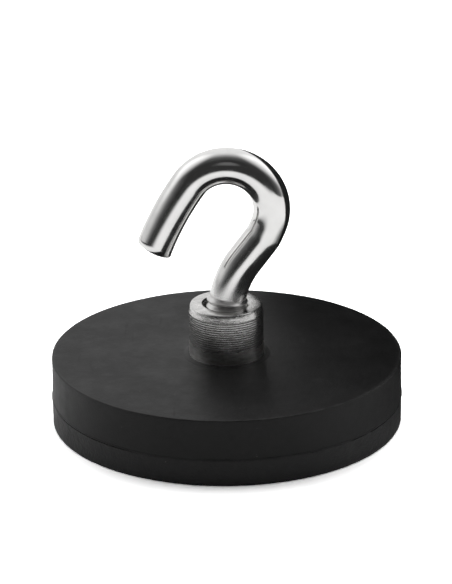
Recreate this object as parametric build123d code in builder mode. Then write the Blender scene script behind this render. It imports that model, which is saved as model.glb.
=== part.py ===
from build123d import *
from math import asin, degrees, radians, tan
import os

# Rubber-coated disc magnet with a threaded boss and a screw hook.
# Millimetres. +Z is up, along the boss. The origin is the centre of the working face, which rests on z = 0.
# The hook is bent in the XZ plane, and its open side faces -X.

# ---- Rubber-coated disc ----
disc_diameter = 66.0
disc_height = 13.0
seam_height = 5.0             # the two rubber covers meet this far above the working face
rubber_wall = 2.0             # rubber outside the steel plate
top_skin = 2.0                # rubber over the steel plate
working_skin = 2.0            # rubber under the magnets
rim_radius = 0.3              # the top and bottom rims are almost sharp
waist_depth = 0.15            # the upper side wall is slightly hollow
seam_bead = 0.12              # flash that stands out along the seam
seam_bead_height = 0.35
seam_bevel = 0.12             # bevel of the lower cover just under the seam
lower_draft = 0.15            # the lower side wall narrows towards the working face
lip_width = 0.9               # rubber lip round the foot of the boss
lip_height = 0.35

# ---- Magnets ----
magnet_diameter = 20.0
magnet_thickness = 5.0
magnet_ring_radius = 19.0     # from the axis to each magnet's centre
magnet_chamfer = 0.3
outline_width = 0.8           # faint ring that each magnet leaves on the working face
outline_depth = 0.12
magnet_bearings = {
    "magnet_back_right": 45,
    "magnet_back_left": 135,
    "magnet_front_left": 225,
    "magnet_front_right": 315,
}

# ---- Steel plate ----
plate_thickness = disc_height - top_skin - working_skin - magnet_thickness
plate_chamfer = 0.3

# ---- Threaded boss ----
boss_diameter = 14.0
boss_height = 10.2            # above the rubber
boss_band_height = 1.5        # the plain band under the top face
boss_band_taper = 0.25
boss_edge_break = 0.15
mouth_diameter = 9.2          # countersunk mouth of the threaded hole
relief_depth = 3.0            # plain bore above the thread, where the bent neck turns
drill_point_angle = 118.0
rivet_shank_diameter = 10.0
rivet_head_diameter = 12.4
rivet_head_height = 0.8
rivet_head_bevel = 0.4

# ---- M8 coarse thread, as closed rings instead of a helix ----
thread_diameter = 8.0
thread_pitch = 1.25
thread_turns = 8
thread_clearance = 0.05       # radial, on each side of the nominal form
thread_crest_width = thread_pitch / 8
thread_flank_angle = 30.0
thread_height = 0.5413 * thread_pitch

# ---- Hook ----
wire_diameter = 6.9
neck_diameter = 6.6           # plain length between the thread and the full wire
neck_above_boss = 1.3
stud_point_height = 1.0
stud_point_radius = 2.3
lean_below_boss = 2.2         # the shank starts to lean this far below the top of the boss
lean_radius = 18.0
lean_angle = 36.3
rise_length = 5.4
crank_radius = 6.5            # short sharp bend between the rise and the main bend
crank_angle = 13.5
crank_length = 1.5
bend_radius = 8.5             # main bend, to the centre of the wire
bend_angle = 168.7
tip_leg_radius = 61.0         # the tip leg is almost straight
tip_leg_length = 14.3
tip_skew = 5.0                # the sheared end is a little off square, longer on the inside of the hook
tip_edge_break = 0.35

# ---- Values worked out from the dimensions above ----
disc_radius = disc_diameter / 2
plate_radius = disc_radius - rubber_wall
plate_base = working_skin + magnet_thickness
plate_top = plate_base + plate_thickness
boss_radius = boss_diameter / 2
boss_top = disc_height + boss_height
shank_radius = rivet_shank_diameter / 2
head_radius = rivet_head_diameter / 2
mouth_radius = mouth_diameter / 2
bore_major = thread_diameter / 2 + thread_clearance
bore_minor = bore_major - thread_height
stud_major = thread_diameter / 2 - thread_clearance
stud_minor = stud_major - thread_height
thread_top = boss_top - relief_depth
thread_bottom = thread_top - thread_turns * thread_pitch
bore_bottom = thread_bottom - thread_pitch
drill_point_height = bore_minor / tan(radians(drill_point_angle / 2))
neck_radius = neck_diameter / 2
wire_radius = wire_diameter / 2
lean_base = boss_top - lean_below_boss
neck_angle = degrees(asin((lean_below_boss + neck_above_boss) / lean_radius))
shear_allowance = wire_diameter * tan(radians(tip_skew))
tip_leg_angle = degrees((tip_leg_length + shear_allowance) / tip_leg_radius)


def thread_rings(inner, outer):
    """Section points of the thread, bottom to top: one trapezium for each turn, widest at the inner radius."""
    half_crest = thread_crest_width / 2
    half_root = half_crest + thread_height * tan(radians(thread_flank_angle))
    points = []
    for turn in range(thread_turns):
        centre = thread_bottom + (turn + 0.5) * thread_pitch
        points += [
            (inner, centre - half_root),
            (outer, centre - half_crest),
            (outer, centre + half_crest),
            (inner, centre + half_root),
        ]
    return points


os.makedirs("parts", exist_ok=True)

# Upper rubber cover: a cap over the steel plate. Its skirt reaches down past the plate to the seam.
with BuildPart() as upper_rubber_cover:
    with BuildSketch(Plane.XZ) as cap_section:
        with BuildLine() as cap_outline:
            bead_top = seam_height + seam_bead_height
            inside = Polyline(
                (disc_radius, seam_height),
                (plate_radius, seam_height),
                (plate_radius, plate_top),
                (boss_radius, plate_top),
                (boss_radius, disc_height),
            )
            lip = ThreePointArc(
                inside @ 1,
                (boss_radius + lip_width / 2, disc_height + lip_height),
                (boss_radius + lip_width, disc_height),
            )
            top = Line(lip @ 1, (disc_radius, disc_height))
            wall = ThreePointArc(
                top @ 1,
                (disc_radius - waist_depth, (disc_height + bead_top) / 2),
                (disc_radius, bead_top),
            )
            bead = ThreePointArc(
                wall @ 1,
                (disc_radius + seam_bead, seam_height + seam_bead_height / 2),
                inside @ 0,
            )
        make_face()
    revolve(axis=Axis.Z)
    top_edges = upper_rubber_cover.edges().filter_by_position(Axis.Z, disc_height, disc_height)
    fillet(top_edges.sort_by(SortBy.RADIUS)[-1], rim_radius)
upper_rubber_cover.part.label = "upper_rubber_cover"
export_step(upper_rubber_cover.part, "parts/upper_rubber_cover.step")

# Lower rubber cover: a tray whose spigot fits inside the upper cover's skirt. It has a pocket for each magnet,
# and a recess for the head of the riveted boss.
with BuildPart() as lower_rubber_cover:
    with BuildSketch(Plane.XZ) as tray_section:
        with BuildLine() as tray_outline:
            Polyline(
                (0, 0),
                (disc_radius - lower_draft, 0),
                (disc_radius, seam_height - seam_bevel),
                (disc_radius - seam_bevel, seam_height),
                (plate_radius, seam_height),
                (plate_radius, plate_base),
                (0, plate_base),
                close=True,
            )
        make_face()
    revolve(axis=Axis.Z)
    fillet(lower_rubber_cover.edges().group_by(Axis.Z)[0], rim_radius)
    with BuildSketch(Plane.XY.offset(working_skin)) as magnet_pockets:
        for bearing in magnet_bearings.values():
            with PolarLocations(magnet_ring_radius, 1, start_angle=bearing):
                Circle(magnet_diameter / 2)
    extrude(amount=magnet_thickness, mode=Mode.SUBTRACT)
    with BuildSketch(Plane.XY.offset(plate_base - rivet_head_height)) as head_recess:
        Circle(head_radius)
    extrude(amount=rivet_head_height, mode=Mode.SUBTRACT)
    with BuildSketch(Plane.XY) as magnet_outlines:
        for bearing in magnet_bearings.values():
            with PolarLocations(magnet_ring_radius, 1, start_angle=bearing):
                Circle((magnet_diameter + outline_width) / 2)
                Circle((magnet_diameter - outline_width) / 2, mode=Mode.SUBTRACT)
    extrude(amount=outline_depth, mode=Mode.SUBTRACT)
lower_rubber_cover.part.label = "lower_rubber_cover"
export_step(lower_rubber_cover.part, "parts/lower_rubber_cover.step")

# Steel plate: closes the magnets' flux behind them and carries the boss.
with BuildPart() as steel_plate:
    with BuildSketch(Plane.XY.offset(plate_base)) as plate_outline:
        Circle(plate_radius)
        Circle(shank_radius, mode=Mode.SUBTRACT)
    extrude(amount=plate_thickness)
    plate_rims = steel_plate.edges().filter_by(GeomType.CIRCLE).group_by(SortBy.RADIUS)[-1]
    chamfer(plate_rims, plate_chamfer)
steel_plate.part.label = "steel_plate"
export_step(steel_plate.part, "parts/steel_plate.step")

# Disc magnets: four alike, at equal bearings round the axis.
for magnet_name, bearing in magnet_bearings.items():
    with BuildPart() as magnet:
        with BuildSketch(Plane.XY.offset(working_skin)) as magnet_face:
            with PolarLocations(magnet_ring_radius, 1, start_angle=bearing):
                Circle(magnet_diameter / 2)
        extrude(amount=magnet_thickness)
        chamfer(magnet.edges().filter_by(GeomType.CIRCLE), magnet_chamfer)
    magnet.part.label = magnet_name
    export_step(magnet.part, f"parts/{magnet_name}.step")

# Threaded boss: stands on the plate. Its shank passes through the plate and is riveted over below.
with BuildPart() as threaded_boss:
    with BuildSketch(Plane.XZ) as boss_section:
        with BuildLine() as boss_outline:
            head_base = plate_base - rivet_head_height
            band_top_radius = boss_radius - boss_band_taper
            Polyline(
                (0, bore_bottom - drill_point_height),
                (bore_minor, bore_bottom),
                *thread_rings(bore_minor, bore_major),
                (bore_minor, thread_top),
                (bore_major, thread_top),
                (bore_major, boss_top - (mouth_radius - bore_major)),
                (mouth_radius, boss_top),
                (band_top_radius - boss_edge_break, boss_top),
                (band_top_radius, boss_top - boss_edge_break),
                (boss_radius, boss_top - boss_band_height),
                (boss_radius, plate_top),
                (shank_radius, plate_top),
                (shank_radius, plate_base),
                (head_radius, plate_base),
                (head_radius, head_base + rivet_head_bevel),
                (head_radius - rivet_head_bevel, head_base),
                (0, head_base),
                close=True,
            )
        make_face()
    revolve(axis=Axis.Z)
threaded_boss.part.label = "threaded_boss"
export_step(threaded_boss.part, "parts/threaded_boss.step")

# Hook: one wire. A threaded stud on the axis, a plain neck, then the bent full-diameter wire.
with BuildPart() as hook:
    with BuildSketch(Plane.XZ) as stud_section:
        with BuildLine() as stud_outline:
            Polyline(
                (0, thread_bottom - stud_point_height),
                (stud_point_radius, thread_bottom - stud_point_height),
                (stud_minor, thread_bottom),
                *thread_rings(stud_minor, stud_major),
                (neck_radius, thread_top),
                (neck_radius, lean_base),
                (0, lean_base),
                close=True,
            )
        make_face()
    revolve(axis=Axis.Z)
    with BuildLine(Plane.XZ) as neck_line:
        neck = JernArc((0, lean_base), (0, 1), lean_radius, -neck_angle)
    with BuildSketch(Plane(origin=neck @ 0, z_dir=neck % 0)) as neck_section:
        Circle(neck_radius)
    sweep(path=neck_line.line)
    with BuildLine(Plane.XZ) as wire_line:
        lean = JernArc(neck @ 1, neck % 1, lean_radius, neck_angle - lean_angle)
        rise = Line(lean @ 1, lean @ 1 + rise_length * (lean % 1))
        crank = JernArc(rise @ 1, rise % 1, crank_radius, crank_angle)
        link = Line(crank @ 1, crank @ 1 + crank_length * (crank % 1))
        main_bend = JernArc(link @ 1, link % 1, bend_radius, bend_angle)
        tip_leg = JernArc(main_bend @ 1, main_bend % 1, tip_leg_radius, tip_leg_angle)
    with BuildSketch(Plane(origin=lean @ 0, z_dir=lean % 0)) as wire_section:
        Circle(wire_radius)
    sweep(path=wire_line.line)
    sheared_centre = tip_leg @ (1 - shear_allowance / tip_leg.length)
    sheared_normal = (tip_leg % 1).rotate(Axis.Y, tip_skew)
    with BuildSketch(Plane(origin=sheared_centre, z_dir=sheared_normal)) as shear_cut:
        Circle(wire_diameter)
    extrude(amount=wire_diameter, mode=Mode.SUBTRACT)
    sheared_face = hook.faces().filter_by(GeomType.PLANE).sort_by_distance(sheared_centre)[0]
    chamfer(sheared_face.edges(), tip_edge_break)
hook.part.label = "hook"
export_step(hook.part, "parts/hook.step")
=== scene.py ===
from math import asin, ceil, cos, degrees, pi, radians, sin, tan

import bmesh
import bpy
import numpy as np
from mathutils import Matrix, Vector
from mathutils.geometry import delaunay_2d_cdt


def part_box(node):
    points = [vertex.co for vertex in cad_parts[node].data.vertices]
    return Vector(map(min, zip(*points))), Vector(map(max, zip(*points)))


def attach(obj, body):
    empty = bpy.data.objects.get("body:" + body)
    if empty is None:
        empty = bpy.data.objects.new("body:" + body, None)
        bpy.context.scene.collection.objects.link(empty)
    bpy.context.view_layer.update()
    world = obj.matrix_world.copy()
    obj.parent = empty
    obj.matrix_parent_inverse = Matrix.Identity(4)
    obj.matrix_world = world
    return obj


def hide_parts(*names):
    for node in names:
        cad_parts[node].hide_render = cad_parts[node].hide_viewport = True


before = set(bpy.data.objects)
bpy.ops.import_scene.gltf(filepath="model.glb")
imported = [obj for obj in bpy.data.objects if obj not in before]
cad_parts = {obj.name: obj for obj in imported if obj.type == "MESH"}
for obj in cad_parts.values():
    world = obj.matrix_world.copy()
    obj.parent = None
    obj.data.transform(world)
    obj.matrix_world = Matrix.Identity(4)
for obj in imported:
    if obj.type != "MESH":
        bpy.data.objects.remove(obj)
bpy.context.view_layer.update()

# A rubber-coated disc magnet with a threaded boss and a screw hook. Lengths are in millimetres, in the CAD's
# frame, and become metres only where a mesh, a texture or the camera is made. Named angles are in degrees.
# Bearings run from +X towards +Y. The camera looks from -Y, so a bearing of -90 is the front.
MM = 0.001


def box_mm(node_name):
    """Low and high corners of a CAD piece, in millimetres."""
    return [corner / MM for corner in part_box(node_name)]


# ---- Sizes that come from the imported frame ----
magnet_names = [node_name for node_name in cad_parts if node_name.startswith("magnet_")]
magnet_boxes = [box_mm(node_name) for node_name in magnet_names]
upper_low, upper_high = box_mm("upper_rubber_cover")
lower_high = box_mm("lower_rubber_cover")[1]
plate_low, plate_high = box_mm("steel_plate")
boss_high = box_mm("threaded_boss")[1]
hook_low, hook_high = box_mm("hook")

DISC_R = lower_high.x
SEAM_Z = upper_low.z
PLATE_R = plate_high.x
PLATE_BASE = plate_low.z
PLATE_TOP = plate_high.z
BOSS_R = boss_high.x
BOSS_TOP = boss_high.z

# ---- Rubber covers ----
LIP_HEIGHT = 0.35             # the lip round the boss in the CAD, above the disc's top
LIP_RISE = 0.2                # the lip here, which stays under the CAD's height
LIP_FLAT = 0.3
LIP_WIDTH = 1.2
LIP_FILLET = 0.2
LIP_FOOT_FILLET = 0.7
DISC_TOP = upper_high.z - LIP_HEIGHT
RIM_FILLET = 0.22
WAIST_DEPTH = 0.06            # the upper side wall sinks in by this much between its rim and the seam
WAIST_FILLET = 3.0
SEAM_BEAD = upper_high.x - DISC_R  # the moulding flash along the seam stands out by this much
SEAM_BEAD_HEIGHT = 0.35
FLASH_LOSS = 0.75             # share of the bead's width that is gone where the flash is torn off
SEAM_GAP = 0.2                # height of the slot between the covers, where the seam is open
SEAM_DEPTH = 0.7              # depth of the slot
SEAM_EDGE = 0.05              # fillet of the lower cover's edge at the slot
SEAM_CLOSING = 0.93           # share of the slot that is filled where the covers meet tightest
SEAM_SHUT_SIDE = -84.0        # bearing where the covers meet tightest; the seam is open on the other side
NIB_SIDE = -35.0              # bearing where the moulding flash is torn into nibs
LOWER_DRAFT = 0.08            # the lower side wall leans in by this much towards the working face
FACE_RIM = 1.2                # width of the ring round the working face that goes with the side wall
OUTLINE_WIDTH = 2.4           # width of the soft groove that outlines each magnet on the working face
OUTLINE_DEPTH = 0.09
RUBBER_RIPPLE = 0.02          # height of the slow unevenness that moulding leaves

# ---- Boss ----
BAND_HEIGHT = 1.5             # the band under the top edge has no tool lines
BAND_TAPER = 0.25             # the band leans in by this much towards the top
EDGE_BREAK = 0.4              # fillet of the top edge
MOUTH_R = 4.6                 # rim of the countersunk mouth
RELIEF_DEPTH = 3.0            # the bore is plain down to here
DRILL_HALF_ANGLE = 59.0
SHANK_R = 5.0                 # where the boss passes through the plate
HEAD_R = 6.2                  # head riveted over under the plate
HEAD_HEIGHT = 0.8
HEAD_BEVEL = 0.4
HEAD_FILLET = 0.2
TURNING_PITCH = 0.44          # spacing of the tool lines down the side of the boss
TURNING_DEPTH = 0.018
TURNING_STEP = 0.073          # about a sixth of the spacing, so that each line has a round bottom
LINE_WANDER = 0.05            # how far a line strays up or down, as a share of the spacing
FACING_RIPPLE = 0.012         # unevenness of the faced top

# ---- Thread, as closed rings ----
THREAD_R = 4.0
PITCH = 1.25
TURNS = 8
CLEARANCE = 0.05              # the stud's and the boss's threads each stand this far off the nominal size
THREAD_HEIGHT = 0.5413 * PITCH  # depth of an ISO metric thread
FLANK_ANGLE = 30.0
HALF_CREST = PITCH / 16
HALF_ROOT = HALF_CREST + THREAD_HEIGHT * tan(radians(FLANK_ANGLE))
THREAD_TOP = BOSS_TOP - RELIEF_DEPTH
THREAD_BASE = THREAD_TOP - TURNS * PITCH

# ---- Hook ----
WIRE_R = 3.45
NECK_R = 3.3
NECK_TOP = BOSS_TOP + 1.3     # the neck widens to the full wire here
POINT_R = 2.3                 # the stud's flat point
LEAN_BASE = BOSS_TOP - 2.2    # height on the axis where the wire starts to lean over
LEAN_RADIUS = 18.0
LEAN_ANGLE = 36.3             # it leans over to this angle from the axis
RISE_LENGTH = 5.4             # then it runs straight,
CRANK_RADIUS = 6.5            # cranks back,
CRANK_ANGLE = 13.5
CRANK_LENGTH = 1.5            # runs straight again,
BEND_RADIUS = 8.5             # goes round the main bend
BEND_ANGLE = 168.7
TIP_LEG_RADIUS = 61.0         # and ends in a slightly bowed leg
TIP_LEG_LENGTH = 14.3
TIP_SKEW = 5.0                # the sheared end is longer on the inside of the hook
TIP_SKEW_LENGTH = 3.0         # the rings along the wire tilt to that skew over this length
TIP_BREAK = 0.25              # rounding of the sheared edge, all round
TIP_ROLL = 1.5                # length over which the blade rolled the edge, on the outside and towards -Y
TIP_ROLL_DEPTH = 0.55
TIP_ROLL_SIDE = -65.0         # bearing of the rolled edge round the wire, from the outside of the hook
TIP_ROUGHNESS = 0.16          # depth of the hollows in the torn end face
RUNOUT_CREST_R = 3.86         # rolled crest where the thread runs out below the full wire
RUNOUT_ROOT_R = 3.22
RUNOUT_TOP = 24.75            # height at which the last trace of the thread is gone, on the axis
RUNOUT_CLEAR = RUNOUT_TOP + 1  # the wire is plain from here on, all round
RUNOUT_SLANT = 0.25           # the trace goes this much higher on the outside of the hook than on the axis
RUNOUT_FADE = 0.75            # and fades out over this height
RUNOUT_PHASE = 0.18           # turns by which the run-out's helix is set round the neck
CREST_POWER = 0.8             # under 1, so the crests are broader than the roots

# ---- Smoothness of the meshes ----
POLE_R = 0.05                 # a turned outline stops this far from the axis, where a pole closes it
RIPPLE_WAVES = 9
COVER_SEGMENTS = 288
BOSS_SEGMENTS = 192
WIRE_SEGMENTS = 96
POCKET_SEGMENTS = 96
UPPER_STEP = 0.9              # longest step round each outline
LOWER_STEP = 0.5
BOSS_STEP = 0.9
NECK_STEP = 0.1               # spacing of the rings up the straight neck
FINE_STEP = 0.08              # spacing of the rings along the run-out
WIRE_STEP = 0.28              # and along the rest of the wire
TIP_STATIONS = 22             # rings over the last stretch, up to the sheared edge
TIP_FACE_STEPS = 14           # steps from that edge to the middle of the torn face
OUTLINE_LOOPS = 9             # rings of points across each magnet's outline
OUTLINE_STEPS = 168           # points round each of them
SPARE_RINGS = ((2.0, 12), (4.5, 24), (7.0, 36), (30.6, 200))  # radius and points of rings off the outlines
WELD_DISTANCE = 0.002         # points closer than this become one
POINT_TOLERANCE = 1e-5        # and so do points this close on the working face
SAME = 0.01                   # heights and radii closer than this count as the same
RUBBER_CREASE = 32.0          # edges sharper than this stay creased
METAL_CREASE = 50.0


# ==== Mesh code ====
def rounded(corners, closed=True, arc_steps=6):
    """Section points through (radius, height, fillet) corners. A fillet of zero keeps its corner sharp."""
    points = []
    for index, (radius, height, fillet) in enumerate(corners):
        here = np.array((radius, height))
        is_end = not closed and index in (0, len(corners) - 1)
        if fillet == 0 or is_end:
            points.append(here)
            continue
        to_last = np.array(corners[index - 1][:2]) - here
        to_next = np.array(corners[(index + 1) % len(corners)][:2]) - here
        to_last /= np.linalg.norm(to_last)
        to_next /= np.linalg.norm(to_next)
        half = np.arccos(np.clip(to_last @ to_next, -1, 1)) / 2
        middle = (to_last + to_next) / np.linalg.norm(to_last + to_next)
        centre = here + middle * fillet / sin(half)
        first = here + to_last * fillet / tan(half) - centre
        last = here + to_next * fillet / tan(half) - centre
        sweep = pi - 2 * half
        for share in np.linspace(0, 1, arc_steps + 1):
            spoke = first * sin((1 - share) * sweep) + last * sin(share * sweep)
            points.append(centre + spoke / sin(sweep))
    return np.array(points)


def divided(points, longest, closed=True):
    """The same outline with no step longer than the given length."""
    out = []
    count = len(points) if closed else len(points) - 1
    for index in range(count):
        start = points[index]
        end = points[(index + 1) % len(points)]
        steps = max(1, ceil(np.linalg.norm(end - start) / longest))
        out += [start + (end - start) * step / steps for step in range(steps)]
    if not closed:
        out.append(points[-1])
    return np.array(out)


def smoothstep(low, high, value):
    """An S-curve from 0 at low to 1 at high. Where low is the greater, it falls as the value rises."""
    share = np.clip((value - low) / (high - low), 0, 1)
    return share * share * (3 - 2 * share)


def ripple(points, wavelength, seed):
    """Smooth noise at each point, mostly between -1 and 1: a few plane waves in seeded directions."""
    rng = np.random.default_rng(seed)
    total = np.zeros(points.shape[:-1])
    for _ in range(RIPPLE_WAVES):
        direction = rng.normal(size=3)
        length = wavelength * rng.uniform(0.6, 1.6)
        direction *= 2 * pi / (length * np.linalg.norm(direction))
        total += np.sin(points @ direction + rng.uniform(0, 2 * pi))
    return total / (RIPPLE_WAVES / 2)


def polar_points(radius, height, angle):
    """Points at a radius, a height and a bearing in radians."""
    return np.stack([radius * np.cos(angle), radius * np.sin(angle), height + 0 * angle], axis=-1)


def turned_rings(section, segments, shape):
    """Rows of points: a section turned about the axis. shape gives each point its radius and height."""
    angle = np.linspace(0, 2 * pi, segments, endpoint=False)[None, :]
    radius = section[:, :1] + 0 * angle
    height = section[:, 1:] + 0 * angle
    radius, height = shape(radius, height, angle)
    return polar_points(radius, height, angle)


def quads_between(row, next_row, columns):
    """Faces between two rows of points that each run once round."""
    across = np.arange(columns)
    ahead = (across + 1) % columns
    here, above = row * columns, next_row * columns
    return np.stack([here + across, here + ahead, above + ahead, above + across], axis=1).tolist()


def skin(name, rings, poles=None):
    """Closed mesh over rows of points that run once round. Without poles the last row joins the first."""
    rows, columns = rings.shape[:2]
    vertices = rings.reshape(-1, 3)
    faces = []
    for row in range(rows if poles is None else rows - 1):
        faces += quads_between(row, (row + 1) % rows, columns)
    if poles is not None:
        first_pole, last_pole = rows * columns, rows * columns + 1
        vertices = np.vstack([vertices, poles])
        last_row = (rows - 1) * columns
        round_once = [(index, (index + 1) % columns) for index in range(columns)]
        faces += [[first_pole, ahead, here] for here, ahead in round_once]
        faces += [[last_pole, last_row + here, last_row + ahead] for here, ahead in round_once]
    return solid(name, vertices, faces)


def solid(name, vertices, faces, weld=False):
    """An object from points in millimetres, with its faces turned outwards."""
    mesh = bpy.data.meshes.new(name)
    mesh.from_pydata((np.asarray(vertices) * MM).tolist(), [], faces)
    built = bmesh.new()
    built.from_mesh(mesh)
    if weld:
        bmesh.ops.remove_doubles(built, verts=built.verts, dist=WELD_DISTANCE * MM)
    bmesh.ops.recalc_face_normals(built, faces=built.faces)
    built.to_mesh(mesh)
    built.free()
    piece = bpy.data.objects.new(name, mesh)
    bpy.context.scene.collection.objects.link(piece)
    return piece


def smooth(piece, crease):
    """Smooth shading, with creases kept where faces meet at more than the given angle."""
    piece.data.shade_smooth()
    piece.data.set_sharp_from_angle(angle=radians(crease))


# ---- Rubber covers ----
def seam_tightness(points, angle):
    """How tightly the two covers meet round the disc: 0 where the seam is open, 1 where it is shut."""
    toward_shut = np.cos(angle - radians(SEAM_SHUT_SIDE))
    return smoothstep(0.60, 0.95, toward_shut + 0.22 * ripple(points, wavelength=5.0, seed=8))


def upper_cover():
    """Upper cover: a ring over the plate, with a lip round the boss and moulding flash along the seam."""
    lip_top = DISC_TOP + LIP_RISE
    bead_top = SEAM_Z + SEAM_BEAD_HEIGHT
    inside = [(PLATE_R, SEAM_Z, 0), (PLATE_R, PLATE_TOP, 0), (BOSS_R, PLATE_TOP, 0)]
    lip = [
        (BOSS_R, lip_top, 0),
        (BOSS_R + LIP_FLAT, lip_top, LIP_FILLET),
        (BOSS_R + LIP_WIDTH, DISC_TOP, LIP_FOOT_FILLET),
    ]
    side_wall = [
        (DISC_R, DISC_TOP, RIM_FILLET),
        (DISC_R - WAIST_DEPTH * 0.75, DISC_TOP - 2.0, WAIST_FILLET),
        (DISC_R - WAIST_DEPTH, (DISC_TOP + bead_top) / 2, WAIST_FILLET),
        (DISC_R - WAIST_DEPTH * 0.6, bead_top + 1.6, WAIST_FILLET / 2),
    ]
    bead = [
        (DISC_R, bead_top, 0.12),
        (DISC_R + SEAM_BEAD, SEAM_Z + SEAM_BEAD_HEIGHT * 0.55, 0.08),
        (DISC_R + SEAM_BEAD * 0.4, SEAM_Z, 0),
    ]
    section = divided(rounded(inside + lip + side_wall + bead), UPPER_STEP)

    def uneven(radius, height, angle):
        points = polar_points(radius, height, angle)
        outside = smoothstep(PLATE_R + 0.5, DISC_R - 0.5, radius)
        on_bead = smoothstep(DISC_R - SAME, DISC_R + SEAM_BEAD * 0.8, radius)
        off_lip = smoothstep(BOSS_R + 1.5, BOSS_R + 4, radius)
        on_top = smoothstep(PLATE_TOP + 1, DISC_TOP - 0.3, height) * off_lip
        slow = ripple(points, wavelength=14.0, seed=5)
        quick = ripple(points, wavelength=2.2, seed=6)
        torn = 0.5 + 0.35 * slow + 0.5 * quick
        torn = torn + seam_tightness(points, angle) * (0.75 - 0.6 * torn)
        nib_side = smoothstep(0.3, 0.8, np.cos(angle - radians(NIB_SIDE)))
        nibs = smoothstep(0.2, 0.7, ripple(points, wavelength=2.0, seed=9)) * nib_side
        whole_at_left = smoothstep(0.95, 0.99, -np.cos(angle))
        torn = torn * (1 - np.maximum(nibs, whole_at_left))
        radius = radius - outside * RUBBER_RIPPLE * (1 + ripple(points, wavelength=11.0, seed=3))
        radius = radius - on_bead * SEAM_BEAD * FLASH_LOSS * torn
        height = height - on_top * RUBBER_RIPPLE * (1 + ripple(points, wavelength=13.0, seed=4))
        return radius, height

    return skin("rubber_cover_upper", turned_rings(section, COVER_SEGMENTS, uneven))


def lower_side_rings():
    """The lower cover from the rim of its working face, up its side, into the seam and up its spigot."""
    corners = [
        (DISC_R - LOWER_DRAFT - FACE_RIM, 0, 0),
        (DISC_R - LOWER_DRAFT, 0, RIM_FILLET),
        (DISC_R, SEAM_Z - SEAM_GAP, SEAM_EDGE),
        (DISC_R - SEAM_DEPTH, SEAM_Z - SEAM_GAP, 0),
        (DISC_R - SEAM_DEPTH, SEAM_Z, 0),
        (PLATE_R, SEAM_Z, 0),
        (PLATE_R, PLATE_BASE, 0),
    ]
    section = divided(rounded(corners, closed=False), LOWER_STEP, closed=False)
    edge_reach = SEAM_EDGE * 1.2

    def uneven(radius, height, angle):
        points = polar_points(radius, height, angle)
        outside = smoothstep(PLATE_R + 0.5, DISC_R - 0.5, radius) * smoothstep(0.0, 0.5, height)
        shut = seam_tightness(points, angle)
        at_slot = (height > SEAM_Z - SEAM_GAP - edge_reach) & (radius > DISC_R - SEAM_DEPTH - SAME)
        beyond_edge = np.clip(DISC_R - edge_reach - radius, 0, None)
        radius = radius + at_slot * shut * SEAM_CLOSING * beyond_edge
        height = height + at_slot * (height < SEAM_Z - SAME) * shut * SEAM_CLOSING * SEAM_GAP
        radius = radius - outside * RUBBER_RIPPLE * (1 + ripple(points, wavelength=8.0, seed=7))
        return radius, height

    return turned_rings(section, COVER_SEGMENTS, uneven)


def working_face(edge_ring):
    """Triangles over the working face inside its rim, with the outline of each magnet pressed into it."""
    outlines = [((low + high) / 2, (high.x - low.x) / 2) for low, high in magnet_boxes]
    flat = [Vector((x, y)) for x, y in edge_ring[:, :2]]
    loops = [list(range(len(flat)))]
    for centre, radius in outlines:
        for offset in np.linspace(-0.5, 0.5, OUTLINE_LOOPS):
            loop_radius = radius + offset * OUTLINE_WIDTH
            loops.append(list(range(len(flat), len(flat) + OUTLINE_STEPS)))
            for step in range(OUTLINE_STEPS):
                turn = 2 * pi * step / OUTLINE_STEPS
                flat.append(Vector((centre.x + loop_radius * cos(turn), centre.y + loop_radius * sin(turn))))
    for ring_radius, count in SPARE_RINGS:
        for step in range(count):
            turn = 2 * pi * (step + 0.5) / count
            flat.append(Vector((ring_radius * cos(turn), ring_radius * sin(turn))))
    edges = [(loop[i], loop[(i + 1) % len(loop)]) for loop in loops for i in range(len(loop))]
    points, _, triangles, *_ = delaunay_2d_cdt(flat, edges, [], 0, POINT_TOLERANCE)
    points = np.array([tuple(point) for point in points])
    depth = np.zeros(len(points))
    for centre, radius in outlines:
        off = np.abs(np.hypot(points[:, 0] - centre.x, points[:, 1] - centre.y) - radius)
        depth = np.maximum(depth, OUTLINE_DEPTH * (1 - smoothstep(0, OUTLINE_WIDTH / 2, off)))
    return np.column_stack([points, depth]), triangles


def lower_cover():
    """Lower cover: solid rubber, with pockets for the magnets and for the boss's head."""
    rings = lower_side_rings()
    rows, columns = rings.shape[:2]
    side = rings.reshape(-1, 3)
    faces = []
    for row in range(rows - 1):
        faces += quads_between(row, row + 1, columns)
    faces.append(list(range((rows - 1) * columns, rows * columns)))
    face_points, triangles = working_face(rings[0])
    faces += [[len(side) + corner for corner in triangle] for triangle in triangles]
    piece = solid("rubber_cover_lower", np.vstack([side, face_points]), faces, weld=True)
    for low, high in magnet_boxes:
        cut_pocket(piece, (low.x + high.x) / 2, (low.y + high.y) / 2, (high.x - low.x) / 2, low.z)
    cut_pocket(piece, 0, 0, HEAD_R, PLATE_BASE - HEAD_HEIGHT)
    return piece


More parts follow.
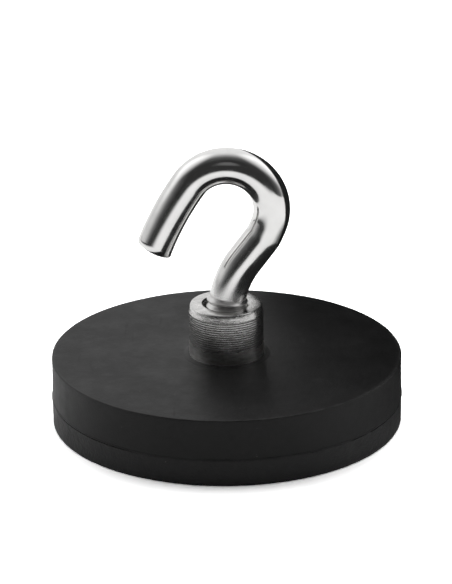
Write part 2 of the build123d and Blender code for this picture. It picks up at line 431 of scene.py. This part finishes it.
def cut_pocket(piece, x, y, radius, floor_height):
    """Cuts a round pocket down from the top of a piece to the given height."""
    cutter_top = PLATE_BASE + 2
    turn = np.linspace(0, 2 * pi, POCKET_SEGMENTS, endpoint=False)
    true_radius = radius / cos(pi / POCKET_SEGMENTS)
    ring = np.stack([x + true_radius * np.cos(turn), y + true_radius * np.sin(turn)], axis=-1)
    levels = [np.full(POCKET_SEGMENTS, z) for z in (floor_height, cutter_top)]
    rings = np.stack([np.column_stack([ring, level]) for level in levels])
    cutter = skin("cutter", rings, [[x, y, floor_height], [x, y, cutter_top]])
    step = piece.modifiers.new("pocket", "BOOLEAN")
    step.operation = "DIFFERENCE"
    step.solver = "EXACT"
    step.object = cutter
    bpy.context.view_layer.update()
    result = bpy.data.meshes.new_from_object(piece.evaluated_get(bpy.context.evaluated_depsgraph_get()))
    piece.modifiers.remove(step)
    piece.data = result
    bpy.data.objects.remove(cutter)


# ---- Thread rings, shared by the boss and the stud ----
def thread_rings(inner, outer):
    """Corners of the thread's section, bottom to top, one trapezium for each turn."""
    corners = []
    for turn in range(TURNS):
        centre = THREAD_BASE + (turn + 0.5) * PITCH
        corners += [
            (inner, centre - HALF_ROOT, 0),
            (outer, centre - HALF_CREST, 0),
            (outer, centre + HALF_CREST, 0),
            (inner, centre + HALF_ROOT, 0),
        ]
    return corners


# ---- Boss ----
def boss():
    """Threaded boss: drilled and threaded bore, countersunk mouth, turned side, shank and riveted head."""
    bore_major = THREAD_R + CLEARANCE
    bore_minor = bore_major - THREAD_HEIGHT
    bore_bottom = THREAD_BASE - PITCH
    drill_tip = bore_bottom - bore_minor / tan(radians(DRILL_HALF_ANGLE))
    head_base = PLATE_BASE - HEAD_HEIGHT
    side_top = BOSS_TOP - BAND_HEIGHT
    lines_base = DISC_TOP - 0.5
    bore = [
        (POLE_R, drill_tip + POLE_R, 0),
        (bore_minor, bore_bottom, 0),
        *thread_rings(bore_minor, bore_major),
        (bore_minor, THREAD_TOP, 0),
        (bore_major, THREAD_TOP, 0),
        (bore_major, BOSS_TOP - (MOUTH_R - bore_major), 0.08),
    ]
    band = [
        (MOUTH_R, BOSS_TOP, 0.05),
        (BOSS_R - BAND_TAPER, BOSS_TOP, EDGE_BREAK),
        (BOSS_R - 0.04, side_top + 0.08, 0.05),
    ]
    turned_side = [(BOSS_R, height, 0) for height in np.arange(side_top, lines_base, -TURNING_STEP)]
    foot = [
        (BOSS_R, PLATE_TOP, 0),
        (SHANK_R, PLATE_TOP, 0),
        (SHANK_R, PLATE_BASE, 0),
        (HEAD_R, PLATE_BASE, 0),
        (HEAD_R, head_base + HEAD_BEVEL, HEAD_FILLET),
        (HEAD_R - HEAD_BEVEL, head_base, HEAD_FILLET),
        (POLE_R, head_base, 0),
    ]
    outline = rounded(bore + band + turned_side + foot, closed=False, arc_steps=4)
    section = divided(outline, BOSS_STEP, closed=False)

    def tool_lines(radius, height, angle):
        points = polar_points(radius, height, angle)
        below_band = smoothstep(side_top, side_top - 0.15, height)
        side = smoothstep(lines_base, lines_base + 0.3, height) * below_band
        side = side * smoothstep(BOSS_R - 0.1, BOSS_R - 0.01, radius)
        wander = LINE_WANDER * ripple(points, wavelength=9.0, seed=14)
        line = 0.5 - 0.5 * np.cos(2 * pi * (height / TURNING_PITCH + wander))
        broken = smoothstep(-0.7, 0.5, ripple(points * (1, 1, 4), wavelength=1.6, seed=12))
        radius = radius - side * TURNING_DEPTH * line * (0.55 + 0.45 * broken)
        off_mouth = smoothstep(MOUTH_R + 0.5, MOUTH_R + 2, radius)
        faced = smoothstep(side_top + 0.1, BOSS_TOP - 0.1, height) * off_mouth
        height = height - FACING_RIPPLE * faced * (1 + ripple(points, wavelength=3.0, seed=15))
        return radius, height

    rings = turned_rings(section, BOSS_SEGMENTS, tool_lines)
    return skin("boss_turned", rings, [[0, 0, drill_tip], [0, 0, head_base]])


# ---- Hook ----
def hook_centre_line():
    """Stations up the bent wire: distance along it, x, z, and heading from +X towards +Z."""
    neck_angle = degrees(asin((NECK_TOP - LEAN_BASE) / LEAN_RADIUS))
    moves = [
        (LEAN_RADIUS, -neck_angle),
        (LEAN_RADIUS, neck_angle - LEAN_ANGLE),
        (None, RISE_LENGTH),
        (CRANK_RADIUS, CRANK_ANGLE),
        (None, CRANK_LENGTH),
        (BEND_RADIUS, BEND_ANGLE),
        (TIP_LEG_RADIUS, degrees(TIP_LEG_LENGTH / TIP_LEG_RADIUS)),
    ]
    stations = [(0.0, 0.0, LEAN_BASE, radians(90))]
    for radius, amount in moves:
        length = amount if radius is None else radius * radians(abs(amount))
        steps = ceil(length / WIRE_STEP)
        for _ in range(steps):
            along, x, z, heading = stations[-1]
            step = length / steps
            turn = 0.0 if radius is None else radians(amount) / steps
            chord = step if turn == 0 else 2 * radius * sin(abs(turn) / 2)
            middle = heading + turn / 2
            stations.append((along + step, x + chord * cos(middle), z + chord * sin(middle), heading + turn))
    return np.array(stations)


def bent_stations():
    """The same line with closer stations along the run-out and near the sheared end, and its length."""
    coarse = hook_centre_line()
    total = coarse[-1, 0]
    runout_end = RUNOUT_CLEAR - LEAN_BASE
    tip_start = total - TIP_ROLL - 0.1
    along = np.concatenate([
        np.arange(0.0, runout_end, FINE_STEP),
        np.arange(runout_end, tip_start, WIRE_STEP),
        np.linspace(tip_start, total, TIP_STATIONS),
    ])
    return np.column_stack([np.interp(along, coarse[:, 0], coarse[:, column]) for column in range(4)]), total


def straight_stations():
    """(radius, height) up the straight part: point, threaded stud, and neck up to where the wire leans."""
    stud_major = THREAD_R - CLEARANCE
    stud_minor = stud_major - THREAD_HEIGHT
    stud = [(POINT_R, hook_low.z, 0), (stud_minor, THREAD_BASE, 0.2), *thread_rings(stud_minor, stud_major)]
    stud.append((NECK_R, THREAD_TOP, 0))
    neck = [(NECK_R, height) for height in np.arange(THREAD_TOP + NECK_STEP, LEAN_BASE, NECK_STEP)]
    return [(radius, height) for radius, height in rounded(stud, closed=False, arc_steps=3)] + neck


def runout(height, turn, plain):
    """Radius round the neck, plain but for the last turns of the thread, which are rolled into it."""
    if not THREAD_TOP < height < RUNOUT_CLEAR:
        return plain
    wave = 0.5 + 0.5 * np.cos(2 * pi * ((height - BOSS_TOP) / PITCH - turn / (2 * pi) + RUNOUT_PHASE))
    formed = RUNOUT_ROOT_R + (RUNOUT_CREST_R - RUNOUT_ROOT_R) * wave ** CREST_POWER
    begins = smoothstep(THREAD_TOP + 0.1, THREAD_TOP + 0.7, height)
    ends = smoothstep(RUNOUT_TOP - RUNOUT_FADE, RUNOUT_TOP, height - RUNOUT_SLANT * np.cos(turn))
    return plain + (formed - plain) * (begins * (1 - ends))


def hook_wire():
    """The whole hook as one skin: point, threaded stud, neck with the run-out, wire and sheared end.

    Each point also keeps where it would be if the wire were straight, for the marks that drawing left on it.
    """
    bent, total = bent_stations()
    turn = np.linspace(0, 2 * pi, WIRE_SEGMENTS, endpoint=False)
    rings, unbent = [], []

    def add_ring(x, z, heading, radius, along, advance=0.0):
        side = radius * np.cos(turn)
        rings.append(np.stack([
            x + side * sin(heading) + advance * cos(heading),
            radius * np.sin(turn),
            z - side * cos(heading) + advance * sin(heading),
        ], axis=-1))
        unbent.append(np.stack([side, radius * np.sin(turn), along + advance + 0 * turn], axis=-1))

    for radius, height in straight_stations():
        add_ring(0.0, height, radians(90), runout(height, turn, radius + 0 * turn), height - LEAN_BASE)

    neck_end = NECK_TOP - LEAN_BASE
    rolled = np.clip(np.cos(turn - radians(TIP_ROLL_SIDE)), 0, 1)
    edge_length = TIP_BREAK + (TIP_ROLL - TIP_BREAK) * rolled
    edge_depth = TIP_BREAK + (TIP_ROLL_DEPTH - TIP_BREAK) * rolled
    for along, x, z, heading in bent:
        plain = NECK_R + (WIRE_R - NECK_R) * smoothstep(neck_end - 0.25, neck_end + 0.25, along) + 0 * turn
        skew = -tan(radians(TIP_SKEW)) * smoothstep(total - TIP_SKEW_LENGTH, total, along)
        edge = np.clip(1 - (total - along) / edge_length, 0, 1)
        radius = runout(LEAN_BASE + along, turn, plain) - edge_depth * (1 - np.sqrt(1 - edge ** 2))
        add_ring(x, z, heading, radius, along, skew * radius * np.cos(turn))

    _, x, z, heading = bent[-1]
    for share in np.linspace(1, 0, TIP_FACE_STEPS + 1)[1:-1]:
        radius = (WIRE_R - edge_depth) * share
        flat = np.stack([radius * np.cos(turn), radius * np.sin(turn), 0 * turn], axis=-1)
        coarse = ripple(flat, wavelength=2.2, seed=21)
        fine = ripple(flat, wavelength=0.8, seed=22)
        torn = TIP_ROUGHNESS * (0.55 + 0.3 * coarse + 0.15 * fine)
        hollow = np.clip(torn, 0, None) * smoothstep(1.0, 0.85, share)
        add_ring(x, z, heading, radius, total, -tan(radians(TIP_SKEW)) * radius * np.cos(turn) - hollow)

    first_pole = [0, 0, rings[0][:, 2].mean()]
    last_pole = rings[-1].mean(axis=0)
    piece = skin("hook_wire", np.array(rings), [first_pole, last_pole])
    unbent_poles = [[0, 0, hook_low.z - LEAN_BASE], [0, 0, total]]
    straightened = np.vstack([np.array(unbent).reshape(-1, 3), unbent_poles])
    stored = piece.data.attributes.new("unbent", "FLOAT_VECTOR", "POINT")
    stored.data.foreach_set("vector", straightened.astype(np.float32).ravel())
    return piece, total


# ==== Materials ====
# Colours are linear. Positions on a piece are in metres, so a noise scale of 1000 gives marks about a
# millimetre across. The hook's unbent positions are in millimetres, and its noise scales are per millimetre.
RUBBER_SHADES = [
    (0.3, (0.004, 0.004, 0.0042)), (0.55, (0.006, 0.006, 0.0062)), (0.8, (0.014, 0.0137, 0.0135)),
]
# Paler rim: partly rubbing, partly a painted highlight along the top edge.
RUBBED_RIM_AND_PAINTED_HIGHLIGHT = (0.018, 0.0178, 0.0175)
# A painted paler ring round the boss: painted light that lifts the shade at the boss's foot.
PAINTED_LIFT_ROUND_BOSS = (0.013, 0.0129, 0.0127)
DUST_SPECK = (0.045, 0.044, 0.043)
WIRE_SHADES = [(0.0, (0.06, 0.058, 0.055)), (1.0, (0.93, 0.925, 0.915))]
BOSS_SHADES = [(0.3, (0.48, 0.475, 0.465)), (0.5, (0.68, 0.675, 0.665)), (0.72, (0.86, 0.855, 0.84))]
PLATE_SHADES = [(0.35, (0.16, 0.155, 0.15)), (0.55, (0.33, 0.33, 0.33)), (0.7, (0.45, 0.45, 0.45))]
NICKEL_SHADES = [(0.3, (0.52, 0.50, 0.46)), (0.7, (0.72, 0.70, 0.66))]


def material_tree(name, metallic=0.0):
    made = bpy.data.materials.new(name)
    made.use_nodes = True
    surface = made.node_tree.nodes["Principled BSDF"]
    surface.inputs["Metallic"].default_value = metallic
    return made, made.node_tree, surface


def node(tree, kind, inputs=None, **settings):
    """Adds a node, with its settings, and links or sets its inputs."""
    made = tree.nodes.new(kind)
    for key, value in settings.items():
        setattr(made, key, value)
    for key, value in (inputs or {}).items():
        if isinstance(value, bpy.types.NodeSocket):
            tree.links.new(value, made.inputs[key])
        else:
            made.inputs[key].default_value = value
    return made


def calculate(tree, operation, first, second):
    """A sum, product or the like of two values."""
    return node(tree, "ShaderNodeMath", {0: first, 1: second}, operation=operation).outputs[0]


def times(tree, first, second):
    return calculate(tree, "MULTIPLY", first, second)


def plus(tree, value, *parts):
    """The value with parts added to it, each a (value, weight) pair."""
    for part, weight in parts:
        value = calculate(tree, "ADD", value, times(tree, part, weight))
    return value


def remap(tree, value, low, high, to_low=0, to_high=1, run="LINEAR"):
    """A run from to_low, where the value is at low, to to_high, where it is at high, and level beyond."""
    inputs = {"Value": value, "From Min": low, "From Max": high, "To Min": to_low, "To Max": to_high}
    return node(tree, "ShaderNodeMapRange", inputs, interpolation_type=run).outputs[0]


def mixed(tree, share, first, second):
    """A value that goes from the first to the second as the share goes from 0 to 1."""
    return node(tree, "ShaderNodeMix", {0: share, 2: first, 3: second}).outputs[0]


def tinted(tree, share, base, colour):
    """The base colour with a share of another colour mixed in."""
    return node(tree, "ShaderNodeMix", {0: share, 6: base, 7: (*colour, 1)}, data_type="RGBA").outputs[2]


def stretched(tree, vector, scale):
    return node(tree, "ShaderNodeMapping", {"Vector": vector, "Scale": scale}).outputs[0]


def noise(tree, vector, scale, detail, roughness):
    inputs = {"Vector": vector, "Scale": scale, "Detail": detail, "Roughness": roughness}
    return node(tree, "ShaderNodeTexNoise", inputs).outputs[0]


def shade_ramp(tree, value, stops):
    """Colour from (position, colour) stops."""
    ramp = node(tree, "ShaderNodeValToRGB", {0: value})
    elements = ramp.color_ramp.elements
    while len(elements) < len(stops):
        elements.new(0.5)
    for element, (position, colour) in zip(elements, stops):
        element.position = position
        element.color = (*colour, 1)
    return ramp.outputs[0]


def bump(tree, height, strength, distance, normal=None):
    """Normal that a height field of the given depth in metres gives, on top of another normal."""
    inputs = {"Height": height, "Strength": strength, "Distance": distance}
    if normal is not None:
        inputs["Normal"] = normal
    return node(tree, "ShaderNodeBump", inputs).outputs[0]


def connect(tree, surface, colour, roughness, normal):
    tree.links.new(colour, surface.inputs["Base Color"])
    tree.links.new(roughness, surface.inputs["Roughness"])
    tree.links.new(normal, surface.inputs["Normal"])


def own_coordinates(tree):
    """Position on the piece in metres, which stays with the piece when it moves."""
    return node(tree, "ShaderNodeTexCoord").outputs["Object"]


def round_axis(tree, where):
    """Distance from the axis, height above the working face, and the vector out from the axis."""
    split = node(tree, "ShaderNodeSeparateXYZ", {0: where}).outputs
    out = node(tree, "ShaderNodeCombineXYZ", {"X": split["X"], "Y": split["Y"]}).outputs[0]
    radius = node(tree, "ShaderNodeVectorMath", {0: out}, operation="LENGTH").outputs["Value"]
    return radius, split["Z"], out


def rubber(name, grain, grain_scale, mottling, paleness, offset):
    """Moulded black rubber: fine grain, slow cloudy patches, a few pale scuffs and specks of dust.

    The rim is painted paler, partly for rubbing and partly as a painted highlight along the top edge, and
    the rubber round the boss is painted paler as painted light that lifts the shade at the boss's foot. The
    offset gives each cover its own patches.
    """
    made, tree, surface = material_tree(name)
    here = own_coordinates(tree)
    where = node(tree, "ShaderNodeMapping", {"Vector": here, "Location": (offset,) * 3}).outputs[0]
    clouds = noise(tree, where, scale=90, detail=3, roughness=0.55)
    mottle = noise(tree, where, scale=420, detail=4, roughness=0.6)
    pores = noise(tree, where, scale=grain_scale, detail=2, roughness=0.6)
    scratches = noise(tree, stretched(tree, where, (1, 0.12, 1)), scale=900, detail=2, roughness=0.4)
    specks = noise(tree, where, scale=1500, detail=1, roughness=0.5)
    scuffs = remap(tree, scratches, 0.66, 0.78)
    dust = remap(tree, specks, 0.79, 0.83)
    radius, height, _ = round_axis(tree, here)
    near_rim = remap(tree, radius, (DISC_R - 0.8) * MM, (DISC_R - 0.3) * MM)
    near_top = remap(tree, height, (DISC_TOP - 0.25) * MM, (DISC_TOP - 0.08) * MM)
    # The rim, painted paler for rubbing and as a painted highlight along the top edge.
    rubbed_and_painted_highlight = times(tree, times(tree, near_rim, near_top), remap(tree, mottle, 0.35, 0.6, 0.3, 1))
    # The rubber round the boss, painted paler: painted light that lifts the shade at the boss's foot.
    painted_lift_round_boss = remap(tree, radius, (BOSS_R + 13) * MM, (BOSS_R + 1) * MM, 0, 0.9)

    tone = plus(tree, times(tree, clouds, 0.6), (mottle, 0.4), (scuffs, 0.05))
    shades = [(position, [paleness * part for part in colour]) for position, colour in RUBBER_SHADES]
    base = shade_ramp(tree, tone, shades)
    base = tinted(tree, rubbed_and_painted_highlight, base, RUBBED_RIM_AND_PAINTED_HIGHLIGHT)
    base = tinted(tree, times(tree, painted_lift_round_boss, near_top), base, PAINTED_LIFT_ROUND_BOSS)
    base = tinted(tree, dust, base, DUST_SPECK)

    hazy = plus(tree, times(tree, clouds, 0.5), (mottle, 0.5))
    rough = plus(tree, remap(tree, hazy, 0.3, 0.7, 0.40, 0.56), (scuffs, 0.06))
    off_working_face = remap(tree, height, 0.15 * MM, 0.5 * MM, 0.3, 1)
    fine = bump(tree, times(tree, pores, off_working_face), 0.5 * grain, 0.07 * MM)
    coarse = bump(tree, times(tree, mottle, off_working_face), 0.4 * mottling, 0.2 * MM, fine)
    surface.inputs["Specular IOR Level"].default_value = 0.27
    connect(tree, surface, base, rough, coarse)
    return made


def plated_wire(total_length):
    """Bright plating over drawn wire: die lines along the wire, faint haze, tiny pits and a dull torn end.

    The neck is duller, where the thread was rolled and where the hook is turned by hand.
    """
    made, tree, surface = material_tree("bright_plating", metallic=1.0)
    unbent = node(tree, "ShaderNodeAttribute", attribute_name="unbent").outputs["Vector"]
    die_lines = noise(tree, stretched(tree, unbent, (1, 1, 0.03)), scale=5.5, detail=3, roughness=0.6)
    haze = noise(tree, unbent, scale=0.5, detail=3, roughness=0.5)
    pits = noise(tree, unbent, scale=6.0, detail=2, roughness=0.5)
    tears = noise(tree, unbent, scale=3.0, detail=4, roughness=0.7)
    along = node(tree, "ShaderNodeSeparateXYZ", {0: unbent}).outputs["Z"]
    torn = remap(tree, along, total_length - 0.25, total_length - 0.02)
    threaded = remap(tree, along, 4.2, 3.2)
    handled = remap(tree, along, 10.0, 3.5)
    pitted = remap(tree, pits, 0.70, 0.78)

    tone = plus(tree, remap(tree, haze, 0.3, 0.7, 0.92, 1.0), (pitted, -0.12))
    tone = times(tree, tone, remap(tree, torn, 0, 1, 1.0, 0.42))
    tone = times(tree, tone, remap(tree, threaded, 0, 1, 1.0, 0.8))
    base = shade_ramp(tree, tone, WIRE_SHADES)
    plain_roughness = remap(tree, haze, 0.3, 0.7, 0.09, 0.15)
    rough = plus(tree, plain_roughness, (torn, 0.4), (handled, 0.16), (threaded, 0.05))
    normal = bump(tree, die_lines, 0.3, 0.02 * MM)
    normal = bump(tree, pits, 0.05, 0.02 * MM, normal)
    normal = bump(tree, times(tree, tears, torn), 0.9, 0.15 * MM, normal)
    connect(tree, surface, base, rough, normal)
    return made


def turned_steel():
    """Plated steel off the lathe: broken lines round the side, a speckled band, rings on the faced top."""
    made, tree, surface = material_tree("turned_plating", metallic=1.0)
    where = own_coordinates(tree)
    radius, height, out = round_axis(tree, where)
    side_lines = noise(tree, stretched(tree, where, (1, 1, 4)), scale=600, detail=3, roughness=0.6)
    dashes = noise(tree, stretched(tree, where, (1, 1, 4)), scale=700, detail=3, roughness=0.6)
    patch = noise(tree, where, scale=260, detail=3, roughness=0.5)
    specks = noise(tree, where, scale=1700, detail=2, roughness=0.6)

    # The rings on the faced top: noise that runs quickly outwards and slowly round.
    bearing = node(tree, "ShaderNodeVectorMath", {0: out}, operation="NORMALIZE").outputs["Vector"]
    bearing_split = node(tree, "ShaderNodeSeparateXYZ", {0: bearing}).outputs
    ring_where = node(tree, "ShaderNodeCombineXYZ", {
        "X": times(tree, bearing_split["X"], 0.9),
        "Y": times(tree, bearing_split["Y"], 0.9),
        "Z": times(tree, radius, 9000),
    }).outputs[0]
    face_rings = noise(tree, ring_where, scale=1.0, detail=3, roughness=0.6)

    band_base = (BOSS_TOP - BAND_HEIGHT) * MM
    below_band = remap(tree, height, band_base + 0.15 * MM, band_base - 0.15 * MM)
    facing = remap(tree, height, (BOSS_TOP - 0.12) * MM, (BOSS_TOP - 0.04) * MM)
    on_band = calculate(tree, "SUBTRACT", 1.0, calculate(tree, "MAXIMUM", below_band, facing))
    foot = remap(tree, height, (DISC_TOP + 3.2) * MM, (DISC_TOP + 0.4) * MM)

    base = shade_ramp(tree, plus(tree, times(tree, dashes, 0.55), (patch, 0.45)), BOSS_SHADES)
    rough = plus(tree, remap(tree, patch, 0.3, 0.7, 0.22, 0.28), (foot, 0.18))
    normal = bump(tree, times(tree, side_lines, below_band), 0.8, 0.02 * MM)
    normal = bump(tree, times(tree, specks, on_band), 0.8, 0.05 * MM, normal)
    normal = bump(tree, times(tree, face_rings, facing), 0.35, 0.02 * MM, normal)
    connect(tree, surface, base, rough, normal)
    return made


def plain_steel():
    """Mild steel plate inside the rubber: rolled grain and a thin film of scale."""
    made, tree, surface = material_tree("mild_steel_rolled", metallic=1.0)
    where = own_coordinates(tree)
    grain = noise(tree, stretched(tree, where, (1, 0.06, 1)), scale=2400, detail=3, roughness=0.6)
    scale_film = noise(tree, where, scale=130, detail=4, roughness=0.6)
    base = shade_ramp(tree, plus(tree, times(tree, grain, 0.4), (scale_film, 0.6)), PLATE_SHADES)
    rough = remap(tree, scale_film, 0.3, 0.7, 0.32, 0.55)
    connect(tree, surface, base, rough, bump(tree, grain, 0.3, 0.02 * MM))
    return made


def nickel():
    """Nickel plating over a sintered magnet: satin, slightly warm, with a fine orange-peel surface."""
    made, tree, surface = material_tree("nickel_plating", metallic=1.0)
    where = own_coordinates(tree)
    peel = noise(tree, where, scale=1800, detail=2, roughness=0.5)
    tarnish = noise(tree, where, scale=160, detail=3, roughness=0.5)
    base = shade_ramp(tree, tarnish, NICKEL_SHADES)
    rough = remap(tree, tarnish, 0.3, 0.7, 0.18, 0.3)
    connect(tree, surface, base, rough, bump(tree, peel, 0.2, 0.01 * MM))
    return made


def wear(piece, made):
    """Gives a piece its only material."""
    piece.data.materials.clear()
    piece.data.materials.append(made)


def dress(piece, made, crease, body, cad_name):
    """Shades a new piece, gives it its material and body, and hides the CAD piece it stands for."""
    smooth(piece, crease)
    wear(piece, made)
    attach(piece, body)
    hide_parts(cad_name)


# ==== The pieces ====
upper_rubber = rubber("rubber_upper", grain=0.7, grain_scale=3600, mottling=0.3, paleness=1.0, offset=0.0)
dress(upper_cover(), upper_rubber, RUBBER_CREASE, "magnet", "upper_rubber_cover")

lower_rubber = rubber("rubber_lower", grain=2.6, grain_scale=1900, mottling=2.0, paleness=2.4, offset=0.37)
dress(lower_cover(), lower_rubber, RUBBER_CREASE, "magnet", "lower_rubber_cover")

dress(boss(), turned_steel(), METAL_CREASE, "magnet", "threaded_boss")

wire, wire_length = hook_wire()
dress(wire, plated_wire(wire_length), METAL_CREASE, "hook", "hook")

wear(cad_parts["steel_plate"], plain_steel())
for magnet_name in magnet_names:
    wear(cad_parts[magnet_name], nickel())

# ==== The studio ====
SKY_LIGHT = 2.5               # light from the white sweep behind and above, against paper white at 1
ROOM_LIGHT = 0.10             # light from the unlit room on the camera's side
# Brightness of the room in reflections, as (place, brightness), from the camera's side at 0 to behind at 1.
MIRRORED_ROOM = [(0.20, 0.03), (0.35, 0.09), (0.43, 0.20), (0.5, 0.40), (0.64, 0.74), (1.0, 0.88)]
SOFT_BOXES = [(-0.74, 0.16, 0.64), (0.70, 0.16, 0.64)]  # bright patches high on the left and the right
SOFT_BOX_LIGHT = 0.42
WINDOW = (0.02, -0.84, 0.54)  # a small patch in the dim room, above the camera
WINDOW_LIGHT = 0.10

TABLE_FRONT = 1000.0          # how far the table reaches from the object
TABLE_SIDE = 1200.0
TABLE_BACK = 1500.0
TABLE_DROP = 0.02             # the table lies this far below the object, so that no two faces coincide
WHITE_TO_CAMERA = 1.7         # the exposure burns the table out, apart from the contact shadow
WHITE_IN_MIRROR = 0.66        # how white the table is where polished metal and rubber mirror it
WHITE_AS_FILL = 0.60          # how much light it throws back
FLAG_SHADE = (46.0, 18.0, 0.0)  # middle of a painted shadow on the table, which the camera doesn't see

FLAG_CENTRE = (30.0, 31.0, 35.0)
FLAG_FACING = (-0.77, -0.64, 0.0)
FLAG_R = 41.0                 # more than the disc's own radius
FLAG_SEGMENTS = 96

CAMERA_PLACE = (10.8, -850.3, 358.5)
CAMERA_AIM = 0.47             # share of the hook's height that the camera looks at
CAMERA_LENS = 300.0
CAMERA_SENSOR = 36.0
CAMERA_ROLL = -0.55
CAMERA_REACH = (10.0, 20000.0)  # nearest and farthest distance it sees


def white_table():
    """The floor. It can't be seen from below, so that the working face can."""
    corners = [
        (-TABLE_SIDE, -TABLE_FRONT, 0), (TABLE_SIDE, -TABLE_FRONT, 0),
        (TABLE_SIDE, TABLE_BACK, 0), (-TABLE_SIDE, TABLE_BACK, 0),
    ]
    mesh = bpy.data.meshes.new("table_top")
    mesh.from_pydata([Vector(corner) * MM for corner in corners], [], [(0, 1, 2, 3)])
    table = bpy.data.objects.new("table_top", mesh)
    table.location.z = -TABLE_DROP * MM
    bpy.context.scene.collection.objects.link(table)
    made, tree, surface = material_tree("white_sweep")
    ray = node(tree, "ShaderNodeLightPath").outputs
    where = own_coordinates(tree)
    split = node(tree, "ShaderNodeSeparateXYZ", {0: where}).outputs
    # Painted shade on the table, seen only in reflections and fill light: far off at the front left, and a
    # painted shadow round FLAG_SHADE.
    unlit = remap(tree, calculate(tree, "ADD", split["X"], split["Y"]), -150 * MM, -330 * MM)
    ends = {0: where, 1: Vector(FLAG_SHADE) * MM}
    to_shade = node(tree, "ShaderNodeVectorMath", ends, operation="DISTANCE").outputs["Value"]
    flag_shade = remap(tree, to_shade, 18 * MM, 48 * MM, 0.9, 0)
    lit = plus(tree, 1.0, (calculate(tree, "MAXIMUM", unlit, flag_shade), -0.96))
    paper = remap(tree, noise(tree, where, scale=25, detail=2, roughness=0.5), 0.3, 0.7, 0.98, 1.0)
    white = mixed(tree, ray["Is Glossy Ray"], WHITE_AS_FILL, WHITE_IN_MIRROR)
    white = mixed(tree, ray["Is Camera Ray"], times(tree, white, lit), WHITE_TO_CAMERA)
    white = times(tree, white, paper)
    colour = node(tree, "ShaderNodeCombineColor", {0: white, 1: white, 2: white}).outputs[0]
    matt = node(tree, "ShaderNodeBsdfDiffuse", {"Color": colour}).outputs[0]
    clear = node(tree, "ShaderNodeBsdfTransparent").outputs[0]
    seen_from_below = node(tree, "ShaderNodeNewGeometry").outputs["Backfacing"]
    passed_below = calculate(tree, "GREATER_THAN", ray["Transparent Depth"], 0.5)
    gone = calculate(tree, "MAXIMUM", seen_from_below, passed_below)
    mix = node(tree, "ShaderNodeMixShader", {0: gone, 1: matt, 2: clear})
    tree.links.new(mix.outputs[0], tree.nodes["Material Output"].inputs["Surface"])
    tree.nodes.remove(surface)
    mesh.materials.append(made)


def nearness(tree, direction, target):
    """Cosine of the angle between a direction and a fixed one."""
    inputs = {0: direction, 1: Vector(target).normalized()}
    return node(tree, "ShaderNodeVectorMath", inputs, operation="DOT_PRODUCT").outputs["Value"]


def studio_world():
    """White all round to the camera. To the object, bright behind and above, and a dim room in front."""
    world = bpy.data.worlds.new("studio")
    world.use_nodes = True
    world.cycles.sampling_method = "NONE"
    bpy.context.scene.world = world
    tree = world.node_tree
    direction = node(tree, "ShaderNodeTexCoord").outputs["Generated"]
    split = node(tree, "ShaderNodeSeparateXYZ", {0: direction}).outputs
    ray = node(tree, "ShaderNodeLightPath").outputs
    fill = remap(tree, split["Y"], -0.3, 0.2, ROOM_LIGHT, SKY_LIGHT, run="SMOOTHSTEP")
    low_left = times(tree, remap(tree, split["X"], -0.3, -0.8), remap(tree, split["Z"], 0.45, 0.15))
    depth = remap(tree, plus(tree, split["Y"], (low_left, 0.3)), -1, 1)
    mirrored = shade_ramp(tree, depth, [(position, (level,) * 3) for position, level in MIRRORED_ROOM])
    mirrored = times(tree, mirrored, remap(tree, low_left, 0, 1, 1.0, 0.78))
    for soft_box in SOFT_BOXES:
        near = nearness(tree, direction, soft_box)
        patch = remap(tree, near, 0.80, 0.98, 0, SOFT_BOX_LIGHT, run="SMOOTHSTEP")
        mirrored = calculate(tree, "ADD", mirrored, patch)
    window = remap(tree, nearness(tree, direction, WINDOW), 0.975, 0.995, 0, WINDOW_LIGHT)
    mirrored = calculate(tree, "ADD", mirrored, window)
    level = mixed(tree, ray["Is Glossy Ray"], fill, mirrored)
    level = mixed(tree, ray["Is Camera Ray"], level, 1.0)
    tree.links.new(level, tree.nodes["Background"].inputs["Strength"])
    tree.nodes["Background"].inputs["Color"].default_value = (1, 1, 1, 1)


def black_flag():
    """A black disc leaning at the right, which shows only in reflections, as a second magnet there would."""
    angle = np.linspace(0, 2 * pi, FLAG_SEGMENTS, endpoint=False)
    rings = np.stack([polar_points(FLAG_R, thickness, angle) for thickness in (0.0, DISC_TOP)])
    flag = skin("black_flag", rings, [[0, 0, 0], [0, 0, DISC_TOP]])
    facing = Vector(FLAG_FACING).normalized()
    turned = (-facing).to_track_quat("Z", "Y").to_matrix().to_4x4()
    flag.matrix_world = Matrix.Translation(Vector(FLAG_CENTRE) * MM) @ turned
    made, tree, surface = material_tree("flag_black")
    surface.inputs["Base Color"].default_value = (0.02, 0.02, 0.02, 1)
    surface.inputs["Roughness"].default_value = 0.7
    surface.inputs["Specular IOR Level"].default_value = 0.2
    flag.data.materials.append(made)
    flag.visible_camera = False
    flag.visible_shadow = False
    flag.visible_diffuse = False


def photo_camera():
    """A long lens, well back and a little above the object, with the hook in profile."""
    place = Vector(CAMERA_PLACE)
    middle = Vector((0, 0, hook_high.z * CAMERA_AIM))
    lens = bpy.data.cameras.new("camera")
    lens.lens = CAMERA_LENS
    lens.sensor_width = CAMERA_SENSOR
    lens.clip_start, lens.clip_end = (reach * MM for reach in CAMERA_REACH)
    camera = bpy.data.objects.new("camera", lens)
    aimed = (middle - place).to_track_quat("-Z", "Y").to_matrix().to_4x4()
    rolled = Matrix.Rotation(radians(CAMERA_ROLL), 4, "Z")
    camera.matrix_world = Matrix.Translation(place * MM) @ aimed @ rolled
    bpy.context.scene.collection.objects.link(camera)
    bpy.context.scene.camera = camera


white_table()
studio_world()
black_flag()
photo_camera()
bpy.context.scene.view_settings.view_transform = "Standard"
